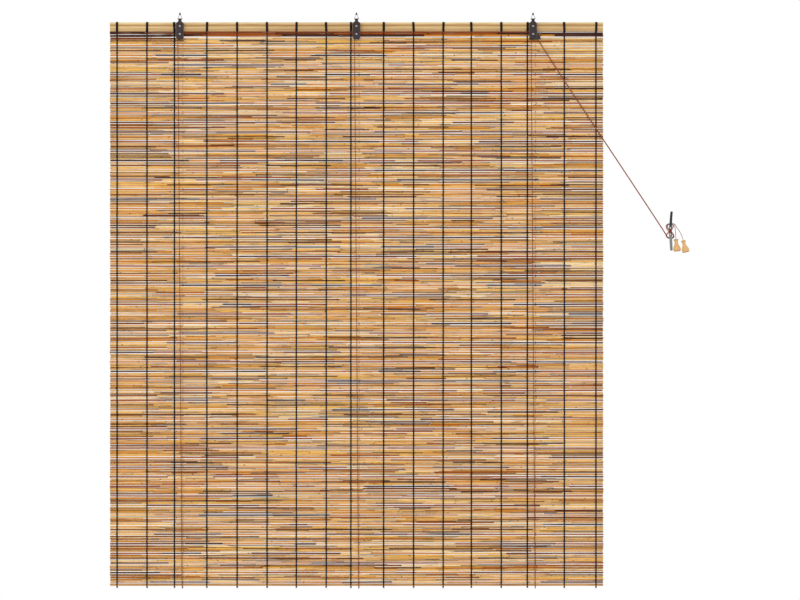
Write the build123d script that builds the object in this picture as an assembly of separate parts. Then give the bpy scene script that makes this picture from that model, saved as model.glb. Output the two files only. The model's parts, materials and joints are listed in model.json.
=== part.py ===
"""Reed roll-up blind: a mat of reeds tied with twine under a wooden head batten, hung from three wire
rings, with three pulley brackets, lift cords, a cord lock, pull cords with knobs and a wall cleat.

Millimetres. +X right, +Z up, -Y to the room. The origin is where a hook bears in the middle ring."""

import math
import os

from build123d import *

# mat of reeds
BLIND_WIDTH = 1400.0
ROW_PITCH = 6.8
ROW_GAP = 0.5
ROW_DEPTH = 5.4
ROW_BEVEL = 1.66  # rise of a row's slanting faces, steep enough for two rows to fold by ROLL_STEP_DEG
LEAD_ROW_HEIGHT = 4.0
LEAD_ROW_PITCH = 7.7
LEAD_ROWS = 2  # thin rows that stand apart, straight under the batten
LONGEST_PANEL_ROWS = 12
SHORTEST_PANEL_ROWS = 2
PANELS_OF_ONE_LENGTH = 3
ROLL_STEP_DEG = 60.0
SLAT_HEIGHT = 7.4
SLAT_DEPTH = 6.4

# head batten
BATTEN_HEIGHT = 26.4
BATTEN_DEPTH = 10.0
BATTEN_TOP_Z = -20.7
BATTEN_EDGE_RADIUS = 1.0
BATTEN_TO_ROW = 3.9  # from the batten's lower edge to the middle of the first row

# warp twine
TWINE_COUNT = 17
TWINE_DIAMETER = 1.0
TWINE_EDGE = 20.0  # from the mat's end to the middle of the outermost twine
TWINE_BESIDE_BRACKET = 16.0
TWINE_STRAY = (0, 0, 0, 0, 1, 1, -1, -1, 0, -8, -8, -9, -14, -14, 0, -5, 0)  # uneven tying
LOOP_WIDTH = 6.0
LOOP_WALL = 1.4
KNOT_DIAMETER = 5.2
TWINE_SLACK = 0.1  # between the twine and what it goes round

# pulley brackets, each one strap folded over its ring's bar
BRACKET_SPACING = 501.0
STRAP_THICKNESS = 1.2
STRAP_WIDTH = 21.3
STRAP_BOTTOM_Z = -69.6
SHOULDER_Z = -23.5
SHOULDER_RISE = 6.4
NECK_WIDTH = 9.4  # where it holds the ring's bar
WAIST_WIDTH = 8.2  # where the neck meets the shoulders
CORNER_CUT = (2.8, 6.4)  # the bevelled corners of its foot, in and up
FIXING_Z = -32.0
AXLE_Z = -54.5
RIVET_RADIUS = 1.6
RIVET_HEAD_RADIUS = 2.6
RIVET_HEAD_HEIGHT = 0.9
HOLE_CLEARANCE = 0.15
RIVET_CLEARANCE = 0.05  # a riveted shank fills its hole

# lock, the right bracket with a flared side and a cam
FLARE_START_Z = -47.0
FLARE_KNEE = (17.2, -56.0)
FLARE_REACH = 22.4
BACK_FLARE_START_Z = -60.0
BACK_FLARE_REACH = 11.7
CAM_PIVOT = (16.0, -64.0)
CAM_HUB_RADIUS = 2.3
CAM_NOSE = (-2.4, -1.0)
CAM_TIP = (10.6, 7.6)
CAM_PIN_RADIUS = 1.0
CAM_PIN_HEAD_RADIUS = 1.7
CAM_SIDE_GAP = 0.4

# hanging rings
WIRE_DIAMETER = 2.0
RING_HALF_WIDTH = 7.0
RING_BAR_Z = -12.0
RING_CORNER_RADIUS = 1.3
RING_TOP_RADIUS = 2.4
PINCH_HEIGHT = 7.0
PINCH_RADIUS = 3.2
EYE_CLEARANCE = 0.1

# wheels
WHEEL_RADIUS = 8.0
GROOVE_RADIUS = 4.7
WHEEL_SIDE_GAP = 0.3
FLANGE = 0.4

# cords
LIFT_DIAMETER = 1.6
LANE_GAP = 0.25  # between two cords that run side by side
LANE_SIDE_GAP = 0.15  # between an outer cord and its wheel's flange
CORD_CLEARANCE = 0.1
BACK_RUN_OFFSET = 7.4
FRONT_RUN_OFFSET = 6.0
ANCHOR_Z = -40.0
ANCHOR_KNOT_RADIUS = 2.2
ANCHOR_KNOT_DEPTH = 3.0
HANG_GAP = 1.2  # between the mat's lowest knots and the lift cords that pass under it
PULL_DIAMETER = 1.7
TURN_SHARE = 0.45
OUTLET_X = (12.4, 14.8, 11.0)  # where each lane leaves the lock, from its middle
OUTLET_DROP = 0.5
PULL_START_GAP = 0.5  # between a lift cord's end and the pull cord that continues it
SPLICE_BACK = 2.0
SPLICE_UP = 6.0
BATTEN_TURN_RADIUS = 1.8  # where a lift cord leaves the batten and turns down
UNDER_TURN_RADIUS = 4.2  # where it turns under the mat
LOCK_REACH_SHARE = 0.72  # how far past the right wheel's middle the cords turn down, in wheel rounds

# cleat
CLEAT_X = 892.0
CLEAT_Z = -613.0
WALL_Y = 20.0
CLEAT_LENGTH = 112.0
HORN_BACK_Y = 8.0
HORN_THICKNESS = 6.5
HORN_TIP_LIFT = 3.0
HORN_TIP_BEVEL = 2.0  # how far the front of a tip slants back
HORN_END_ROUND = 1.0
FOOT_SLOPE = 3.0  # how much shorter the foot is at the horns than on the wall
CLEAT_WIDTH = 8.0
TOP_TIP_WIDTH = 5.0
LOW_TIP_WIDTH = 6.0
FOOT_LENGTH = 37.0
SCREW_SPACING = 18.0
SCREW_RADIUS = 2.1
SCREW_HEAD_RADIUS = 3.4
SCREW_HEAD_DEPTH = 2.2

# knobs
KNOB_LENGTH = 35.0
KNOB_TOP_RADIUS = 6.4
KNOB_WAIST_RADIUS = 5.0
KNOB_BASE_RADIUS = 10.7
KNOB_LIP = (1.2, 1.6)  # the rounded edge of the knob's top, in and down
KNOB_CHAMFER = (3.2, 1.2)  # the bevelled edge of its foot, in and up
KNOB_WAIST_Z = -9.0
KNOB_FLARE_SHARE = 0.78  # of the base radius, where the bell widens fastest
KNOB_FLARE_Z = -21.0
KNOB_BASE_Z = -28.4
KNOB_BORE_RADIUS = 1.2
KNOB_POCKET_RADIUS = 4.0
KNOB_POCKET_DEPTH = 22.0
KNOB_KNOT_RADIUS = 2.6
KNOB_KNOT_DEPTH = 4.0
KNOB_KNOT_GAP = 1.0  # between the knot and the pocket's roof

# places that follow from the sizes above; the ring bars run along X at Y = 0
ROW_HEIGHT = ROW_PITCH - ROW_GAP
EYE_RADIUS = WIRE_DIAMETER / 2 + EYE_CLEARANCE
BATTEN_FRONT = EYE_RADIUS + STRAP_THICKNESS
BATTEN_BACK = BATTEN_FRONT + BATTEN_DEPTH
MAT_Y = BATTEN_FRONT + BATTEN_DEPTH / 2
LANE_PITCH = LIFT_DIAMETER + LANE_GAP
GROOVE_WIDTH = 2 * LANE_PITCH + LIFT_DIAMETER + 2 * LANE_SIDE_GAP
LEG_GAP = GROOVE_WIDTH + 2 * (FLANGE + WHEEL_SIDE_GAP)
BATTEN_BOTTOM_Z = BATTEN_TOP_Z - BATTEN_HEIGHT
GAP_BACK = BATTEN_FRONT - STRAP_THICKNESS
GAP_FRONT = GAP_BACK - LEG_GAP
STRAP_FRONT = GAP_FRONT - STRAP_THICKNESS
GAP_MIDDLE = (GAP_BACK + GAP_FRONT) / 2
LANES = (GAP_MIDDLE - LANE_PITCH, GAP_MIDDLE, GAP_MIDDLE + LANE_PITCH)
CORD_ROUND = GROOVE_RADIUS + CORD_CLEARANCE + LIFT_DIAMETER / 2
BRACKET_X = (-BRACKET_SPACING, 0.0, BRACKET_SPACING)
SIDES = ("left", "middle", "right")

PANEL_ROWS = [
    rows
    for rows in range(LONGEST_PANEL_ROWS, SHORTEST_PANEL_ROWS - 1, -1)
    for _ in range(PANELS_OF_ONE_LENGTH)
]
ROW_COUNT = sum(PANEL_ROWS)


def row_z(row):
    """Height of the middle of a row, counted from 0 under the batten."""
    first = BATTEN_BOTTOM_Z - BATTEN_TO_ROW
    return first - min(row, LEAD_ROWS) * LEAD_ROW_PITCH - max(0, row - LEAD_ROWS) * ROW_PITCH


SLAT_Z = row_z(ROW_COUNT - 1)
SLAT_BOTTOM_Z = SLAT_Z - SLAT_HEIGHT / 2
KNOT_Z = SLAT_BOTTOM_Z - TWINE_SLACK - KNOT_DIAMETER / 2
STRAND_OFFSET = max(ROW_DEPTH, SLAT_DEPTH) / 2 + TWINE_SLACK + TWINE_DIAMETER / 2


def save(node, solids):
    """Writes a node's solids as one STEP file."""
    solids = list(solids)
    for number, solid in enumerate(solids):
        solid.label = f"{node}_{number + 1}"
    shape = solids[0] if len(solids) == 1 else Compound(children=solids)
    shape.label = node
    export_step(shape, f"parts/{node}.step")


def box_between(low, high):
    size = [b - a for a, b in zip(low, high)]
    middle = [(a + b) / 2 for a, b in zip(low, high)]
    return Pos(*middle) * Box(*size)


def cylinder_y(x, z, y_from, y_to, radius):
    """A cylinder along Y between two depths."""
    turned = Pos(x, (y_from + y_to) / 2, z) * Rot(90, 0, 0)
    return turned * Cylinder(radius, y_to - y_from)


def prism_y(points, y_from, y_to):
    """The outline given by (x, z) points, solid between two depths."""
    outline = Plane.XZ * make_face(Polyline(*points, close=True))
    return Pos(0, y_to, 0) * extrude(outline, y_to - y_from)


def prism_x(outline, width, x=0.0):
    """A face in the YZ plane, made width thick about x."""
    return Pos(x - width / 2, 0, 0) * extrude(outline, width)


# ---- mat ----


def row_solid(z, height, bevel):
    """One row: as deep as the reeds, with slanting faces that leave room for its neighbour to fold."""
    half, deep = height / 2, ROW_DEPTH / 2
    corners = [
        (0, half),
        (deep, half - bevel),
        (deep, bevel - half),
        (0, -half),
        (-deep, bevel - half),
        (-deep, half - bevel),
    ]
    outline = Plane.YZ * make_face(Polyline(*corners, close=True))
    return Pos(0, MAT_Y, z) * prism_x(outline, BLIND_WIDTH)


def mat_panels():
    """The rows of each panel, the group that turns as one when the blind is rolled."""
    row = 0
    for number, rows in enumerate(PANEL_ROWS, 1):
        solids = []
        for _ in range(rows):
            if row < LEAD_ROWS:
                solids.append(row_solid(row_z(row), LEAD_ROW_HEIGHT, ROW_BEVEL / 2))
            elif row < ROW_COUNT - 1:
                solids.append(row_solid(row_z(row), ROW_HEIGHT, ROW_BEVEL))
            row += 1
        save(f"mat_panel_{number:02d}", solids)


def bottom_slat():
    """The plain stick that ends the mat, with its upper edge slanted like a row's."""
    half, deep = SLAT_HEIGHT / 2, SLAT_DEPTH / 2
    rise = ROW_BEVEL * SLAT_DEPTH / ROW_DEPTH
    top = ROW_HEIGHT / 2
    corners = [(0, top), (deep, top - rise), (deep, -half), (-deep, -half), (-deep, top - rise)]
    outline = Plane.YZ * make_face(Polyline(*corners, close=True))
    save("bottom_slat", [Pos(0, MAT_Y, SLAT_Z) * prism_x(outline, BLIND_WIDTH)])


def twine_places():
    """X of each warp twine: even, but for uneven tying, and set beside a bracket and not behind it."""
    first = TWINE_EDGE - BLIND_WIDTH / 2
    pitch = -2 * first / (TWINE_COUNT - 1)
    places = []
    for number in range(TWINE_COUNT):
        x = first + pitch * number + TWINE_STRAY[number]
        for bracket in BRACKET_X:
            if abs(x - bracket) < TWINE_BESIDE_BRACKET:
                x = bracket - TWINE_BESIDE_BRACKET
        places.append(x)
    return places


def warp():
    """The twines' two strands, their loops round the batten and the knots that end them."""
    top = BATTEN_BOTTOM_Z - TWINE_SLACK - LOOP_WALL
    length = top - SLAT_BOTTOM_Z
    strands, loops, knots = [], [], []
    low = (BATTEN_FRONT - TWINE_SLACK, BATTEN_BOTTOM_Z - TWINE_SLACK)
    high = (BATTEN_BACK + TWINE_SLACK, BATTEN_TOP_Z + TWINE_SLACK)
    for x in twine_places():
        for side in (-1, 1):
            place = Pos(x, MAT_Y + side * STRAND_OFFSET, top - length / 2)
            strands.append(place * Cylinder(TWINE_DIAMETER / 2, length))
        outer = box_between(
            (x - LOOP_WIDTH / 2, low[0] - LOOP_WALL, low[1] - LOOP_WALL),
            (x + LOOP_WIDTH / 2, high[0] + LOOP_WALL, high[1] + LOOP_WALL),
        )
        outer = fillet(outer.edges().filter_by(Axis.X), LOOP_WALL * 0.9)
        inner = box_between((x - LOOP_WIDTH, *low), (x + LOOP_WIDTH, *high))
        loops.append(outer - inner)
        reach = STRAND_OFFSET + TWINE_DIAMETER / 2
        knot = cylinder_y(x, KNOT_Z, MAT_Y - reach, MAT_Y + reach, KNOT_DIAMETER / 2)
        knots.append(fillet(knot.edges(), KNOT_DIAMETER * 0.35))
    save("warp_twines", strands)
    save("warp_loops", loops)
    save("warp_knots", knots)


def head_batten():
    """The wooden batten with a hole for each bracket's rivet and for each lift cord's end."""
    batten = box_between(
        (-BLIND_WIDTH / 2, BATTEN_FRONT, BATTEN_BOTTOM_Z),
        (BLIND_WIDTH / 2, BATTEN_BACK, BATTEN_TOP_Z),
    )
    batten = fillet(batten.edges().filter_by(Axis.X), BATTEN_EDGE_RADIUS)
    for x in BRACKET_X:
        batten -= cylinder_y(
            x, FIXING_Z, BATTEN_FRONT - 1, BATTEN_BACK + 1, RIVET_RADIUS + HOLE_CLEARANCE
        )
        cord_x = x + BACK_RUN_OFFSET
        bore = LIFT_DIAMETER / 2 + 2 * HOLE_CLEARANCE
        batten -= cylinder_y(cord_x, ANCHOR_Z, BATTEN_FRONT - 1, BATTEN_BACK + 1, bore)
        pocket = ANCHOR_KNOT_RADIUS + HOLE_CLEARANCE
        pocket_back = BATTEN_FRONT + ANCHOR_KNOT_DEPTH + HOLE_CLEARANCE
        batten -= cylinder_y(cord_x, ANCHOR_Z, BATTEN_FRONT - 1, pocket_back, pocket)
    save("head_batten", [batten])


# ---- brackets ----


def strap_section():
    """The strap from the side: up the batten, over the ring's bar in an eye, and down in front."""
    middle = EYE_RADIUS + STRAP_THICKNESS / 2
    front = GAP_FRONT - STRAP_THICKNESS / 2
    up = Line((middle, STRAP_BOTTOM_Z), (middle, RING_BAR_Z))
    # the straight to the front leg leaves the eye where it touches it
    knee = Vector(front, SHOULDER_Z)
    away = knee - Vector(0, RING_BAR_Z)
    angle = math.degrees(math.atan2(away.Y, away.X)) - math.degrees(
        math.acos(middle / away.length)
    )
    over = CenterArc((0, RING_BAR_Z), middle, 0, angle % 360)
    slope = Line(over @ 1, knee)
    down = Line(knee, (front, STRAP_BOTTOM_Z))
    return Plane.YZ * trace(up + over + slope + down, STRAP_THICKNESS)


def bracket_outline(flared):
    """The outline of a bracket seen from the room, as (x, z) about its middle."""
    neck, waist, half, low = NECK_WIDTH / 2, WAIST_WIDTH / 2, STRAP_WIDTH / 2, STRAP_BOTTOM_Z
    cut_in, cut_up = CORNER_CUT
    right = [(half, SHOULDER_Z), (half, low + cut_up), (half - cut_in, low)]
    left = [(cut_in - half, low), (-half, low + cut_up), (-half, SHOULDER_Z)]
    if flared:
        right = [(half, SHOULDER_Z), (half, FLARE_START_Z), FLARE_KNEE, (FLARE_REACH, low)]
        left = [(-BACK_FLARE_REACH, low), (-half, BACK_FLARE_START_Z), (-half, SHOULDER_Z)]
    shoulder = SHOULDER_Z + SHOULDER_RISE
    neck_left = [(-waist, shoulder), (-neck, RING_BAR_Z), (-neck, 0)]
    neck_right = [(-x, z) for x, z in reversed(neck_left)]
    return right + left + neck_left + neck_right


def brackets():
    """Three straps. The right one is the lock's housing, flared to the outlet of the pull cords."""
    section = strap_section()
    for x, side in zip(BRACKET_X, SIDES):
        flared = side == "right"
        outline = prism_y(bracket_outline(flared), STRAP_FRONT - 5, BATTEN_FRONT + 5)
        strap = prism_x(section, 2 * FLARE_REACH) & outline
        strap = Pos(x, 0, 0) * strap
        holes = [(x, FIXING_Z, RIVET_RADIUS), (x, AXLE_Z, RIVET_RADIUS)]
        if flared:
            holes.append((x + CAM_PIVOT[0], CAM_PIVOT[1], CAM_PIN_RADIUS))
        for hole_x, z, radius in holes:
            hole = radius + RIVET_CLEARANCE
            strap -= cylinder_y(hole_x, z, STRAP_FRONT - 1, BATTEN_FRONT + 1, hole)
        save("lock_housing" if flared else f"bracket_{side}", strap.solids())


def rivet(x, z, y_front, y_back, radius, head):
    """A shank with a domed head at each end."""
    body = cylinder_y(x, z, y_front, y_back, radius)
    for y, way in ((y_front, -1), (y_back, 1)):
        reach = RIVET_HEAD_HEIGHT * way
        low, high = sorted((y, y + reach))
        cap = cylinder_y(x, z, low, high, head)
        outer = cap.faces().sort_by(Axis.Y)[0 if way < 0 else -1]
        body += fillet(outer.edges(), RIVET_HEAD_HEIGHT * 0.6)
    return body


def rivets():
    """Each bracket's fixing through the batten and its wheel's axle, and the cam's pin."""
    solids = []
    for x in BRACKET_X:
        solids.append(
            rivet(x, FIXING_Z, STRAP_FRONT, BATTEN_BACK, RIVET_RADIUS, RIVET_HEAD_RADIUS)
        )
        solids.append(
            rivet(x, AXLE_Z, STRAP_FRONT, BATTEN_FRONT, RIVET_RADIUS, RIVET_HEAD_RADIUS)
        )
    solids.append(
        rivet(
            BRACKET_X[2] + CAM_PIVOT[0],
            CAM_PIVOT[1],
            STRAP_FRONT,
            BATTEN_FRONT,
            CAM_PIN_RADIUS,
            CAM_PIN_HEAD_RADIUS,
        )
    )
    save("bracket_rivets", solids)


def wheels():
    """A grooved wheel in each bracket, wide enough for three cords side by side."""
    low, high = GAP_FRONT + WHEEL_SIDE_GAP, GAP_BACK - WHEEL_SIDE_GAP
    bore = RIVET_RADIUS + HOLE_CLEARANCE
    profile = [
        (bore, low),
        (WHEEL_RADIUS, low),
        (WHEEL_RADIUS, low + FLANGE),
        (GROOVE_RADIUS, low + FLANGE),
        (GROOVE_RADIUS, high - FLANGE),
        (WHEEL_RADIUS, high - FLANGE),
        (WHEEL_RADIUS, high),
        (bore, high),
    ]
    face = make_face(Polyline(*profile, close=True))
    wheel = revolve(face, Axis.Y)
    for x, side in zip(BRACKET_X, SIDES):
        save(f"wheel_{side}", [Pos(x, 0, AXLE_Z) * wheel])


def lock_cam():
    """A hub with a nose towards the cords and a long tip that stands out of the lock's side."""
    low, high = GAP_FRONT + CAM_SIDE_GAP, GAP_BACK - CAM_SIDE_GAP
    x, z = BRACKET_X[2] + CAM_PIVOT[0], CAM_PIVOT[1]
    nose = (x + CAM_NOSE[0], z + CAM_NOSE[1])
    tip = (x + CAM_TIP[0], z + CAM_TIP[1])
    along = math.hypot(*CAM_TIP)
    side = (-CAM_TIP[1] / along * CAM_HUB_RADIUS, CAM_TIP[0] / along * CAM_HUB_RADIUS)
    cam = cylinder_y(x, z, low, high, CAM_HUB_RADIUS)
    cam += prism_y([(x + side[0], z + side[1]), tip, (x - side[0], z - side[1])], low, high)
    cam += prism_y([(x, z + CAM_HUB_RADIUS), nose, (x, z - CAM_HUB_RADIUS)], low, high)
    cam -= cylinder_y(x, z, low - 1, high + 1, CAM_PIN_RADIUS + HOLE_CLEARANCE)
    save("lock_cam", cam.solids())


def rings():
    """A three-cornered wire ring in each bracket's eye, its top pinched to a point."""
    apex = WIRE_DIAMETER / 2
    # the fillet draws the wire's top in, so the corner stands above it by that much; as the corner
    # rises its angle narrows, and two rounds are near enough
    corner = apex
    for _ in range(2):
        half_angle = math.atan2(RING_HALF_WIDTH, corner - RING_BAR_Z)
        corner = apex + RING_TOP_RADIUS * (1 / math.sin(half_angle) - 1)
    path = Plane.XZ * FilletPolyline(
        (RING_HALF_WIDTH, RING_BAR_Z),
        (0, corner),
        (-RING_HALF_WIDTH, RING_BAR_Z),
        radius=[RING_CORNER_RADIUS, RING_TOP_RADIUS, RING_CORNER_RADIUS],
        close=True,
    )
    wire = sweep(Plane(path @ 0, z_dir=path % 0) * Circle(WIRE_DIAMETER / 2), path)
    pinch_top = apex + PINCH_HEIGHT
    point = Pos(0, 0, (apex + pinch_top) / 2) * Cone(PINCH_RADIUS, 0.4, PINCH_HEIGHT)
    ring = wire + point
    for x, side in zip(BRACKET_X, SIDES):
        save(f"ring_{side}", (Pos(x, 0, 0) * ring).solids())


# ---- cords ----


def cord_tube(name, points, diameter, arcs=None):
    """A round cord along points, with arcs as large as their runs allow, or as arcs gives them."""
    points = [Vector(*p) for p in points]
    radii = []
    for number in range(1, len(points) - 1):
        back = points[number] - points[number - 1]
        ahead = points[number + 1] - points[number]
        turn = math.radians(back.get_angle(ahead))
        radius = TURN_SHARE * min(back.length, ahead.length) / math.tan(turn / 2)
        radii.append((arcs or {}).get(number, radius))
    path = FilletPolyline(*points, radius=radii)
    tube = sweep(Plane(path @ 0, z_dir=path % 0) * Circle(diameter / 2), path)
    share = tube.volume / (math.pi * diameter**2 / 4 * path.length)
    print(name, "length", round(path.length, 1), "volume share", round(share, 4))
    print("  radii", [round(r, 1) for r in radii])
    return tube


def outlet(lane):
    """Where a lane's cord leaves the lock."""
    return (BRACKET_X[2] + OUTLET_X[lane], LANES[lane], STRAP_BOTTOM_Z - OUTLET_DROP)


def lift_cords():
    """Each cord: a knot in the batten, down the back, under the mat, up the front, over its wheel and
    along to the lock. The right one is spliced to the others inside the lock."""
    radius = LIFT_DIAMETER / 2
    back_y = max(BATTEN_BACK, MAT_Y + STRAND_OFFSET) + radius + 0.3
    front_y = MAT_Y - STRAND_OFFSET - TWINE_DIAMETER / 2 - radius - 0.3
    under_z = KNOT_Z - KNOT_DIAMETER / 2 - HANG_GAP - radius
    round_top = AXLE_Z + CORD_ROUND
    knot_back = BATTEN_FRONT + ANCHOR_KNOT_DEPTH
    for lane, (x, side) in enumerate(zip(BRACKET_X, SIDES)):
        y = LANES[lane]
        end = outlet(lane)
        if side == "right":
            end = (end[0] - SPLICE_BACK, end[1], end[2] + SPLICE_UP)
        points = [
            (x + BACK_RUN_OFFSET, knot_back, ANCHOR_Z),
            (x + BACK_RUN_OFFSET, back_y, ANCHOR_Z),
            (x + BACK_RUN_OFFSET, back_y, under_z),
            (x + FRONT_RUN_OFFSET, front_y, under_z),
            (x - CORD_ROUND, y, round_top),
            (BRACKET_X[2] + CORD_ROUND * LOCK_REACH_SHARE, y, round_top),
            end,
        ]
        arcs = {
            1: BATTEN_TURN_RADIUS,
            2: UNDER_TURN_RADIUS,
            3: UNDER_TURN_RADIUS,
            4: CORD_ROUND,
            5: CORD_ROUND,
        }
        tube = cord_tube(f"lift_cord_{side}", points, LIFT_DIAMETER, arcs)
        knot = cylinder_y(
            x + BACK_RUN_OFFSET, ANCHOR_Z, BATTEN_FRONT + 0.1, knot_back, ANCHOR_KNOT_RADIUS
        )
        save(f"lift_cord_{side}", [tube, knot])


# the pull cords' routes: out of the lock, taut to the cleat, round its lower horn, over its middle,
# round its upper horn and down to the knob
PULL_ROUTE_LEFT = [
    (520.4, -4.0, -82.0),
    (581.0, -3.4, -176.0),
    (876.5, 9.0, -618.5),
    (882.0, 13.0, -629.6),
    (892.5, 14.5, -634.2),
    (901.0, 9.0, -627.0),
    (898.0, -1.8, -614.0),
    (886.0, -2.6, -603.5),
    (877.5, 5.0, -597.5),
    (881.5, 13.0, -588.5),
    (891.0, 14.5, -585.5),
    (899.5, 9.0, -591.0),
    (904.6, 4.0, -603.0),
    (906.4, 3.0, -619.0),
]
PULL_ROUTE_RIGHT = [
    (523.4, -2.6, -81.2),
    (583.6, -3.0, -174.4),
    (878.4, 6.7, -617.2),
    (882.6, 10.4, -630.8),
    (893.0, 11.6, -635.4),
    (903.6, 6.4, -626.6),
    (900.6, -4.2, -613.2),
    (887.4, -5.0, -602.4),
    (879.0, 2.6, -596.4),
    (883.0, 10.7, -587.4),
    (892.0, 12.2, -583.6),
    (901.0, 6.9, -589.6),
    (908.5, 3.6, -600.5),
    (917.0, 3.0, -614.0),
]
KNOB_TOPS = ((906.8, 3.0, -635.9), (927.5, 3.0, -639.6))
KNOB_TILTS = (6.0, 13.4)
KNOB_LEAD = 5.0  # a cord runs straight into its knob from this far above it


def knob_solid():
    """A turned bell with a bore for the cord and a pocket below for its knot; top at the origin."""
    with BuildSketch(Plane.XZ) as face:
        with BuildLine():
            top, waist, base = KNOB_TOP_RADIUS, KNOB_WAIST_RADIUS, KNOB_BASE_RADIUS
            lip_in, lip_down = KNOB_LIP
            lip_top = (top - lip_in, 0)
            lip_side = (top, -lip_down)
            lip_middle = (top - lip_in / 4, -lip_down / 3.2)
            foot_in, foot_up = KNOB_CHAMFER
            foot_edge = (base - foot_in / 2, -KNOB_LENGTH + foot_up)
            Polyline((KNOB_BORE_RADIUS, 0), lip_top)
            ThreePointArc(lip_top, lip_middle, lip_side)
            Spline(
                lip_side,
                (waist, KNOB_WAIST_Z),
                (base * KNOB_FLARE_SHARE, KNOB_FLARE_Z),
                (base, KNOB_BASE_Z),
                foot_edge,
            )
            pocket_top = -KNOB_LENGTH + KNOB_POCKET_DEPTH
            Polyline(
                foot_edge,
                (base - foot_in, -KNOB_LENGTH),
                (KNOB_POCKET_RADIUS, -KNOB_LENGTH),
                (KNOB_POCKET_RADIUS, pocket_top),
                (KNOB_BORE_RADIUS, pocket_top),
                (KNOB_BORE_RADIUS, 0),
            )
        make_face()
    return revolve(face.sketch, Axis.Z)


def pull_cords():
    """The two cords that hang from the cleat, each with its knot in a knob's pocket."""
    knob = knob_solid()
    routes = (PULL_ROUTE_LEFT, PULL_ROUTE_RIGHT)
    for lane, side in enumerate(("left", "right")):
        tilt = math.radians(KNOB_TILTS[lane])
        down = Vector(math.sin(tilt), 0, -math.cos(tilt))
        top = Vector(*KNOB_TOPS[lane])
        depth = KNOB_LENGTH - KNOB_POCKET_DEPTH + KNOB_KNOT_GAP
        inside = top + down * depth
        start = Vector(*outlet(lane)) - Vector(0, 0, PULL_START_GAP)
        above = top - down * KNOB_LEAD
        points = [tuple(start), *routes[lane], tuple(above), tuple(inside)]
        tube = cord_tube(f"pull_cord_{side}", points, PULL_DIAMETER)
        turned = Pos(*top) * Rot(0, -math.degrees(tilt), 0)
        knot_middle = -depth - KNOB_KNOT_DEPTH / 2
        knot = turned * Pos(0, 0, knot_middle) * Cylinder(KNOB_KNOT_RADIUS, KNOB_KNOT_DEPTH)
        save(f"pull_cord_{side}", [tube, knot])
        save(f"knob_{side}", [turned * knob])


def cleat():
    """A two-horned cleat on the wall, with its foot drilled for two screws."""
    half, foot = CLEAT_LENGTH / 2, FOOT_LENGTH / 2
    front = HORN_BACK_Y - HORN_THICKNESS
    tip_back = HORN_BACK_Y - HORN_TIP_LIFT
    upper = [
        (WALL_Y, foot),
        (HORN_BACK_Y, foot - FOOT_SLOPE),
        (tip_back + HORN_END_ROUND * 1.5, half - HORN_END_ROUND),
        (tip_back, half),
        (front - HORN_TIP_LIFT + HORN_TIP_BEVEL, half - HORN_END_ROUND / 2),
        (front, foot),
    ]
    side = upper + [(y, -z) for y, z in reversed(upper)]
    body = prism_x(Plane.YZ * make_face(Polyline(*side, close=True)), CLEAT_WIDTH)
    top, low, wide = TOP_TIP_WIDTH / 2, LOW_TIP_WIDTH / 2, CLEAT_WIDTH / 2
    front_view = [
        (-top, half),
        (top, half),
        (wide, foot),
        (wide, -foot),
        (low, -half),
        (-low, -half),
        (-wide, -foot),
        (-wide, foot),
    ]
    body = body & prism_y(front_view, front - 2 * HORN_TIP_LIFT, WALL_Y + 1)
    for z in (-SCREW_SPACING / 2, SCREW_SPACING / 2):
        body -= cylinder_y(0, z, front - 1, WALL_Y + 1, SCREW_RADIUS)
        sink = Pos(0, front + SCREW_HEAD_DEPTH / 2, z) * Rot(90, 0, 0)
        body -= sink * Cone(SCREW_RADIUS, SCREW_HEAD_RADIUS, SCREW_HEAD_DEPTH)
    save("cleat", (Pos(CLEAT_X, 0, CLEAT_Z) * body).solids())


os.makedirs("parts", exist_ok=True)
mat_panels()
bottom_slat()
warp()
head_batten()
brackets()
rivets()
wheels()
lock_cam()
rings()
lift_cords()
pull_cords()
cleat()
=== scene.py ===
"""Looks of the reed roll-up blind: a mat of reeds twined under a wooden batten, its hanging rings,
pulley brackets, lift cords, cord lock, pull cords with turned knobs, and the cleat on the wall.

Metres. +X right, +Z up, -Y to the room, as in the frame."""

import json
import math

import bmesh
import bpy
from mathutils import Matrix, Vector

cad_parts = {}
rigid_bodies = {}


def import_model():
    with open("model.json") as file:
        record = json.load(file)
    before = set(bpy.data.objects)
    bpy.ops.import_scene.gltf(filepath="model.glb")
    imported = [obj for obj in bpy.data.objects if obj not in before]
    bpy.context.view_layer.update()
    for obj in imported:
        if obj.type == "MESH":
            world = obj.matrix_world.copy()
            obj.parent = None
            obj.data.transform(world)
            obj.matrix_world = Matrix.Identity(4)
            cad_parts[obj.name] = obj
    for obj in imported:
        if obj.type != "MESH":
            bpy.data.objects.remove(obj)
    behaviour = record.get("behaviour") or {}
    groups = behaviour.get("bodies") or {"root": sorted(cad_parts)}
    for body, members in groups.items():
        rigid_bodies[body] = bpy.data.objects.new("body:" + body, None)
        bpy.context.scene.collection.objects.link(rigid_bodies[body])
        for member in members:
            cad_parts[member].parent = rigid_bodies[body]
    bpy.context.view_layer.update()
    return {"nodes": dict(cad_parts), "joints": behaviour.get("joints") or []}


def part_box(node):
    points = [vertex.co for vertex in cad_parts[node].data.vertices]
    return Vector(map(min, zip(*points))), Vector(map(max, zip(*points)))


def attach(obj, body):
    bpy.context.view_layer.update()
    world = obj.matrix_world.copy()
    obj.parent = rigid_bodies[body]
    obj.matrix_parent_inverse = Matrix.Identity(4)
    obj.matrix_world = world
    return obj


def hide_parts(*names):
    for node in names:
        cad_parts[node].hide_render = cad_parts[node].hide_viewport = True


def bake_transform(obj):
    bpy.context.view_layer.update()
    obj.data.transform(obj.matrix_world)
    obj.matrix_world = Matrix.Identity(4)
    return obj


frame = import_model()

MM = 0.001

# ---- sizes taken from the frame ----

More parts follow.
